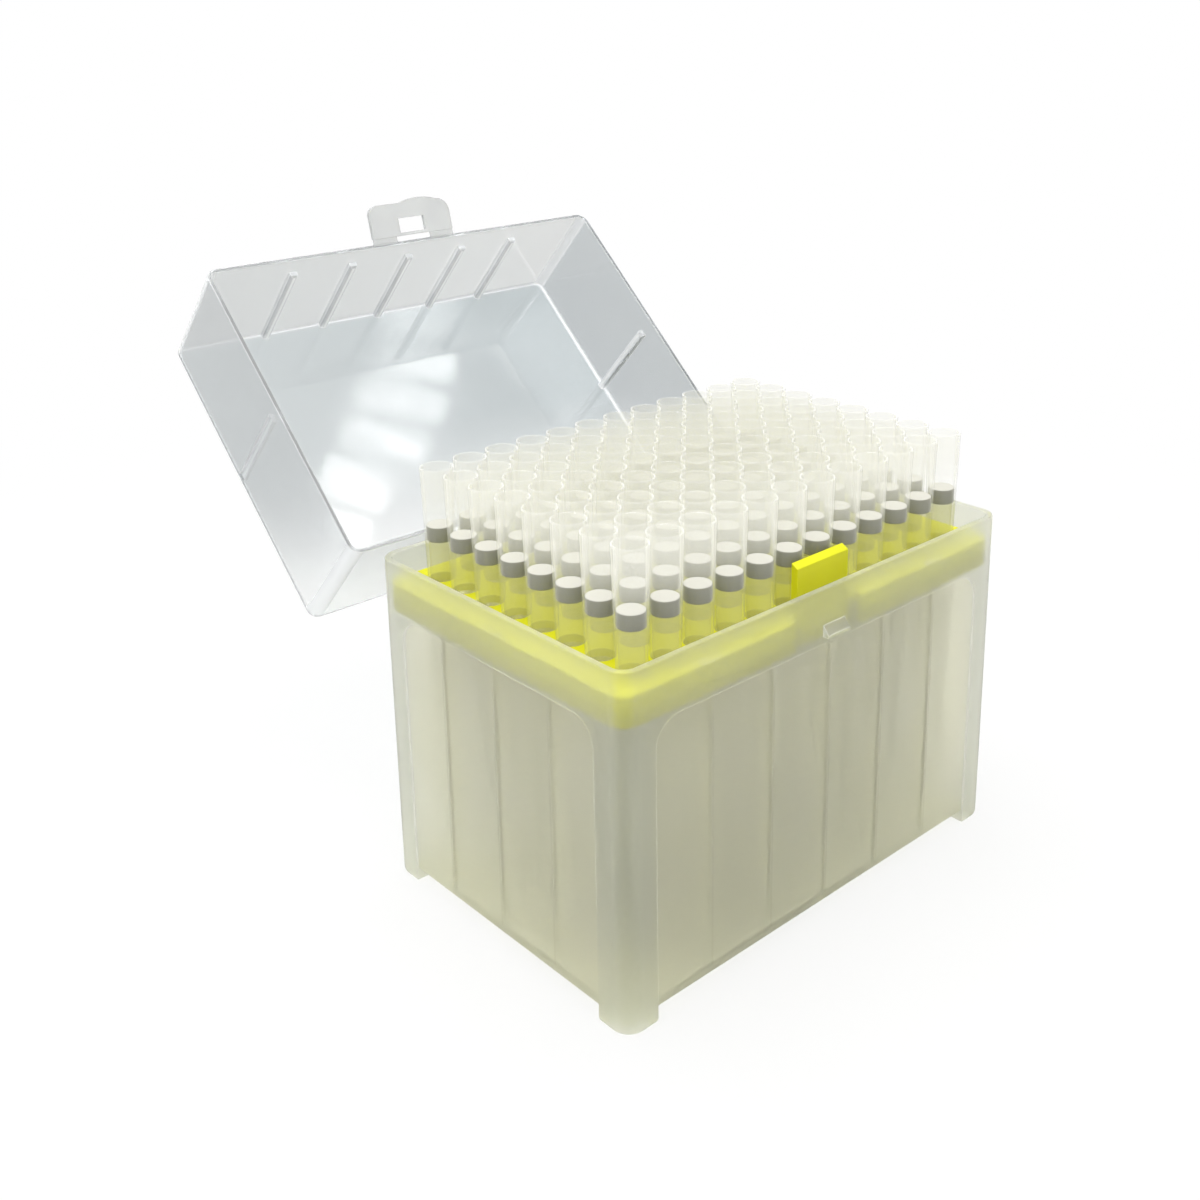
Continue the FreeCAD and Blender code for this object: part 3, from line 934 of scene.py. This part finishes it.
@dataclass(frozen=True)
class Base(Moulding):
    """Milky base with ribbed walls and feet."""

    node: str = "base"
    body: str = "box"

    def finishes(self, looks: Finishes) -> tuple[bpy.types.Material, ...]:
        """Whiter, less clear edges round the milky walls, a painted highlight."""
        return looks.base_edge.build(), looks.base.build()


@dataclass(frozen=True)
class Rack(Moulding):
    """Yellow rack that holds the tips."""

    node: str = "tip_rack"
    body: str = "box"

    def finishes(self, looks: Finishes) -> tuple[bpy.types.Material, ...]:
        """One finish all over."""
        yellow = looks.rack.build()
        return yellow, yellow


@dataclass(frozen=True)
class Lid(Moulding):
    """Glossy lid. Its fillets, ribs, sides, fronts and top are told apart by the size of their faces."""

    node: str = "lid"
    body: str = "lid"
    limits_mm2: tuple[float, ...] = (0.0, 20.0, 25.0, 2500.0, 5000.0)

    def finishes(self, looks: Finishes) -> tuple[bpy.types.Material, ...]:
        """Whiter edges and fillets, a painted highlight; whiter ribs; and walls in grey tints of painted
        shade, the fronts lighter than the sides and top.

        Args:
            looks: Every finish on the box.

        Returns:
            Finishes of the edges, fillets, ribs, sides, fronts and top.
        """
        kinds = (
            looks.lid_edge, looks.lid_fillet, looks.lid_rib, looks.lid_side, looks.lid_front, looks.lid_panel
        )
        return tuple(kind.build() for kind in kinds)


@dataclass(frozen=True)
class Latch(Moulding):
    """Satin latch that swings on the lid's front edge."""

    node: str = "lid_latch"
    body: str = "latch"

    def finishes(self, looks: Finishes) -> tuple[bpy.types.Material, ...]:
        """One finish all over."""
        satin = looks.latch.build()
        return satin, satin


# ---- tips and filters ----


@dataclass(frozen=True)
class FilterTips:
    """The tips with their plugs, one piece a column, spun from their profile.

    Attributes:
        columns: Number of columns.
        rows: Number of rows.
        pitch_mm: Spacing of the places.
        mouth_mm: Height of the mouths.
        end_mm: Height of the lower openings.
        shoulder_mm: Height of the shoulder that rests on the rack.
        shank_mm: Height under which the tips are drawn opaque, with painted shade.
        waist_mm: Height where the taper changes.
        plug_top_mm: Height of the plugs' upper faces.
        plug_height_mm: Height of a plug.
        plug_radius_mm: Radius of a plug.
        plug_rim_mm: Radius on a plug's rims.
        lip_mm: How far the rim of a mouth reaches down.
        steps: Faces round a tip.
        tip_smooth_deg: Edges of a tip that fold by more than this stay hard.
        plug_smooth_deg: The same for a plug.
    """

    columns: int = 12
    rows: int = 8
    pitch_mm: float = 9.0
    mouth_mm: float = 100.7
    end_mm: float = 7.7
    shoulder_mm: float = 74.4
    shank_mm: float = 66.0
    waist_mm: float = 26.0
    plug_top_mm: float = 87.2
    plug_height_mm: float = 3.6
    plug_radius_mm: float = 3.0
    plug_rim_mm: float = 0.3
    lip_mm: float = 0.25
    steps: int = 28
    tip_smooth_deg: float = 40.0
    plug_smooth_deg: float = 60.0

    def outline(self) -> list[tuple[float, float]]:
        """The wall's outline as (radius, height): from the mouth down the outside and up the bore."""
        mouth, shoulder, end = self.mouth_mm, self.shoulder_mm, self.end_mm
        seat = self.plug_top_mm - self.plug_height_mm
        socket = [(3.62, mouth), (3.80, mouth - 0.04), (3.89, mouth - 0.18), (3.88, mouth - 0.5)]
        stop = [
            (3.21, shoulder + 0.35), (3.14, shoulder + 0.08), (3.02, shoulder + 0.01), (2.75, shoulder),
            (2.68, shoulder - 1.5),
        ]
        shank = [(2.48, self.shank_mm), (1.35, self.waist_mm), (0.78, end + 0.3), (0.68, end + 0.02)]
        channel = [(0.45, end + 0.02), (0.42, end + 0.4), (0.95, self.waist_mm), (2.01, self.shank_mm)]
        bore = [
            (2.2, shoulder - 1.2), (2.65, shoulder + 1.2), (2.65, seat - 0.35), (2.65, seat), (3.03, seat),
            (3.03, self.plug_top_mm), (3.35, mouth - 8.0), (3.36, mouth - 0.45), (3.44, mouth - 0.1),
        ]
        return socket + stop + shank + channel + bore

    def spun(self, outline: list[tuple[float, float]]) -> bmesh.types.BMesh:
        """Spins a closed outline about the Z axis.

        Args:
            outline: Points as (radius, height), in millimetres.

        Returns:
            The solid of revolution.
        """
        form = bmesh.new()
        verts = [form.verts.new((radius * MM, 0.0, height * MM)) for radius, height in outline]
        edges = [form.edges.new((a, b)) for a, b in zip(verts, verts[1:] + verts[:1])]
        bmesh.ops.spin(
            form, geom=verts + edges, cent=(0, 0, 0), axis=(0, 0, 1), angle=math.tau, steps=self.steps,
            use_merge=True, use_duplicate=False,
        )
        bmesh.ops.recalc_face_normals(form, faces=form.faces[:])
        starts = (self.shank_mm, self.mouth_mm - self.lip_mm)
        for face in form.faces:
            face.material_index = sum(face.calc_center_median().z > z * MM for z in starts)
        return form

    def plug(self) -> bmesh.types.BMesh:
        """One filter plug with pressed, rounded rims."""
        form = bmesh.new()
        radius, height = self.plug_radius_mm * MM, self.plug_height_mm * MM
        bmesh.ops.create_cone(
            form, cap_ends=True, segments=self.steps, radius1=radius, radius2=radius, depth=height,
            matrix=Matrix.Translation((0, 0, self.plug_top_mm * MM - height / 2)),
        )
        rims = [e for e in form.edges if e.calc_face_angle(0) > math.radians(self.plug_smooth_deg)]
        bmesh.ops.bevel(
            form, geom=rims, offset=self.plug_rim_mm * MM, offset_type="OFFSET", affect="EDGES",
            segments=3, profile=0.5, material=-1,
        )
        return form

    def column(self, form: bmesh.types.BMesh, x: float) -> bmesh.types.BMesh:
        """Repeats one form at every row of a column.

        Args:
            form: The form at the origin's place.
            x: The column's place, in metres.

        Returns:
            The column's mesh.
        """
        column = form.copy()
        first = column.verts[:] + column.edges[:] + column.faces[:]
        start = -(self.rows - 1) / 2 * self.pitch_mm * MM
        bmesh.ops.translate(column, verts=column.verts[:], vec=(x, start, 0))
        for row in range(1, self.rows):
            copy = bmesh.ops.duplicate(column, geom=first)["geom"]
            moved = [v for v in copy if isinstance(v, bmesh.types.BMVert)]
            bmesh.ops.translate(column, verts=moved, vec=(0, row * self.pitch_mm * MM, 0))
        return column

    def build(self, looks: Finishes) -> None:
        """Makes every column of tips and plugs. Lamps and scattered light pass the clear tips.

        Args:
            looks: Every finish on the box.
        """
        porous = looks.plug.build()
        hazy = tuple(part.build() for part in (looks.shaded_shank, looks.tip, looks.tip_lip))
        one_tip = self.spun(self.outline())
        one_plug = self.plug()
        for number in range(1, self.columns + 1):
            low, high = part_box(f"tips_column_{number:02d}")
            x = (low.x + high.x) / 2
            name = f"column_{number:02d}"
            tips = new_object("tips_" + name + "_clear", self.column(one_tip, x), self.tip_smooth_deg, *hazy)
            tips.visible_shadow = False
            tips.visible_diffuse = False
            dress(tips, "box", "tip", "tips_" + name)
            plug_mesh = self.column(one_plug, x)
            plugs = new_object("filters_" + name + "_porous", plug_mesh, self.plug_smooth_deg, porous)
            dress(plugs, "box", "filter", "filters_" + name)
        one_tip.free()
        one_plug.free()


# ---- studio ----


@dataclass(frozen=True)
class Softbox:
    """One area lamp aimed at a point.

    Attributes:
        name: Lamp name.
        place: Where it stands, in metres.
        aim: What it points at, in metres.
        size: Width and height, in metres.
        watts: Its power.
        roll_deg: Turn about the line to the aim.
    """

    name: str
    place: Place | Vector
    aim: Place | Vector
    size: Span
    watts: float
    roll_deg: float = 0.0

    def build(self) -> bpy.types.Object:
        """Makes the lamp."""
        data = bpy.data.lights.new(self.name, "AREA")
        data.shape = "RECTANGLE"
        data.size, data.size_y = self.size
        data.energy = self.watts
        lamp = bpy.data.objects.new(self.name, data)
        lamp.location = self.place
        facing = (Vector(self.aim) - Vector(self.place)).to_track_quat("-Z", "Y")
        lamp.rotation_euler = (facing @ Quaternion((0, 0, 1), math.radians(self.roll_deg))).to_euler()
        bpy.context.scene.collection.objects.link(lamp)
        return lamp


@dataclass(frozen=True)
class CeilingTube:
    """One of the small lamps in a row that gleam in the lid.

    Attributes:
        along: Offset along the row, in metres.
        across: Offset across the row, in metres.
        size: Width and height, in metres.
        watts: Its power.
        roll_deg: Turn about the line to the lid.
    """

    along: float
    across: float
    size: Span
    watts: float
    roll_deg: float = 0.0


@dataclass(frozen=True)
class Studio:
    """Pale floor, an even sky and soft lamps.

    Attributes:
        floor_radius: How far the floor runs, in metres.
        floor_steps: Corners on the floor's rim.
        sky: Strength of the even light.
        softboxes: The lamps that light the whole box.
        lid_middle: What the ceiling tubes point at, in metres.
        tubes_centre: Middle of the ceiling tubes, in metres.
        tubes: The ceiling tubes.
    """

    floor_radius: float = 30.0
    floor_steps: int = 96
    sky: float = 0.77
    softboxes: tuple[Softbox, ...] = (
        Softbox("overhead", (-0.1, 0.1, 1.1), (0.0, 0.0, 0.08), (0.9, 0.9), 13.0),
        Softbox("side_left", (-1.0, 0.3, 0.55), (0.0, 0.0, 0.05), (0.6, 0.6), 0.3),
        Softbox("side_right", (0.5, -1.0, 0.55), (0.0, 0.0, 0.05), (0.6, 0.6), 0.5),
    )
    lid_middle: Place = (-0.0125, 0.103, 0.085)
    tubes_centre: Place = (0.452, -0.109, 0.826)
    tubes: tuple[CeilingTube, ...] = (
        CeilingTube(0.108, 0.014, (0.037, 0.060), 0.056),
        CeilingTube(0.062, 0.000, (0.026, 0.066), 0.035),
        CeilingTube(0.026, 0.006, (0.024, 0.080), 0.037),
        CeilingTube(-0.012, 0.010, (0.024, 0.076), 0.040),
        CeilingTube(-0.056, 0.025, (0.037, 0.062), 0.040),
        CeilingTube(-0.098, 0.024, (0.026, 0.040), 0.025),
        CeilingTube(-0.135, 0.024, (0.035, 0.037), 0.025),
        CeilingTube(0.098, -0.123, (0.110, 0.066), 0.088, 45.0),
    )

    def floor(self, material: bpy.types.Material) -> None:
        """Lays the floor under the feet.

        Args:
            material: The paper's finish.
        """
        form = bmesh.new()
        bmesh.ops.create_circle(form, cap_ends=True, segments=self.floor_steps, radius=self.floor_radius)
        floor = new_object("studio_floor", form, 30.0, material)

    def world(self) -> None:
        """Even light, seen white by the camera, in gloss and through plastic."""
        world = bpy.data.worlds.new("studio_sky")
        bpy.context.scene.world = world
        world.use_nodes = True
        wiring = Wiring(world.node_tree)
        path = wiring.add("LightPath")
        seen = path.outputs["Is Camera Ray"]
        for ray in ("Is Glossy Ray", "Is Transmission Ray"):
            seen = wiring.math("MAXIMUM", seen, path.outputs[ray])
        light = wiring.add("Background", Color=WHITE, Strength=wiring.between(seen, self.sky, 1.0, 0.0, 1.0))
        wiring.add("OutputWorld", Surface=light.outputs[0])

    def lamps(self) -> None:
        """Hangs the softboxes and the ceiling tubes."""
        for softbox in self.softboxes:
            softbox.build()
        middle, centre = Vector(self.lid_middle), Vector(self.tubes_centre)
        row = Vector((0, 0, 1)).cross(centre - middle).normalized()
        over = (centre - middle).normalized().cross(row)
        for number, tube in enumerate(self.tubes):
            place = centre + tube.along * row + tube.across * over
            Softbox(f"ceiling_tube_{number}", place, middle, tube.size, tube.watts, tube.roll_deg).build()

    def build(self, looks: Finishes) -> None:
        """Sets up the whole studio.

        Args:
            looks: The finishes, with the floor's among them.
        """
        self.floor(looks.floor.build())
        self.world()
        self.lamps()


@dataclass(frozen=True)
class Camera:
    """The view from the front left corner, a little above the rim.

    Attributes:
        place_mm: Where the lens is.
        azimuth_deg: Heading, from +X towards +Y.
        dip_deg: How far it looks down.
        roll_deg: Turn about the line of sight.
        lens_mm: Focal length on the sensor.
        sensor_mm: Width of the sensor.
        shift: Sideways and upward shift of the frame.
        clip: Nearest and farthest distance it sees, in metres.
    """

    place_mm: Place = (-217.88, -217.37, 201.29)
    azimuth_deg: float = 48.37
    dip_deg: float = 15.89
    roll_deg: float = -0.99
    lens_mm: float = 42.84
    sensor_mm: float = 36.0
    shift: Span = (-0.0123, -0.1719)
    clip: Span = (0.01, 100.0)

    def build(self) -> bpy.types.Object:
        """Makes the camera and gives it to the scene."""
        azimuth, dip, roll = (math.radians(a) for a in (self.azimuth_deg, self.dip_deg, self.roll_deg))
        ahead = Vector((math.cos(dip) * math.cos(azimuth), math.cos(dip) * math.sin(azimuth), -math.sin(dip)))
        level = Vector((math.sin(azimuth), -math.cos(azimuth), 0))
        upright = level.cross(ahead)
        right = math.cos(roll) * level + math.sin(roll) * upright
        up = math.cos(roll) * upright - math.sin(roll) * level
        data = bpy.data.cameras.new("view")
        data.lens, data.sensor_width = self.lens_mm, self.sensor_mm
        data.shift_x, data.shift_y = self.shift
        data.clip_start, data.clip_end = self.clip
        camera = bpy.data.objects.new("view", data)
        turn = Matrix((right, up, -ahead)).transposed()
        camera.matrix_world = Matrix.Translation(Vector(self.place_mm) * MM) @ turn.to_4x4()
        bpy.context.scene.collection.objects.link(camera)
        bpy.context.scene.camera = camera
        return camera


# ---- the whole box ----


def set_up_scene() -> None:
    """Shows colours as written and lets light pass the many clear walls that stand behind each other."""
    scene = bpy.context.scene
    scene.view_settings.view_transform = "Standard"
    scene.cycles.max_bounces = 16
    scene.cycles.diffuse_bounces = 6
    scene.cycles.glossy_bounces = 6
    scene.cycles.transmission_bounces = 16
    scene.cycles.transparent_max_bounces = 40
    scene.cycles.caustics_refractive = True


def main() -> None:
    """Builds every piece, the studio and the camera."""
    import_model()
    set_up_scene()
    looks = Finishes()
    for part in (Base(), Rack(), Lid(), Latch(), FilterTips(), Studio()):
        part.build(looks)
    Camera().build()
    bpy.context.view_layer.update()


if __name__ == "__main__":
    main()
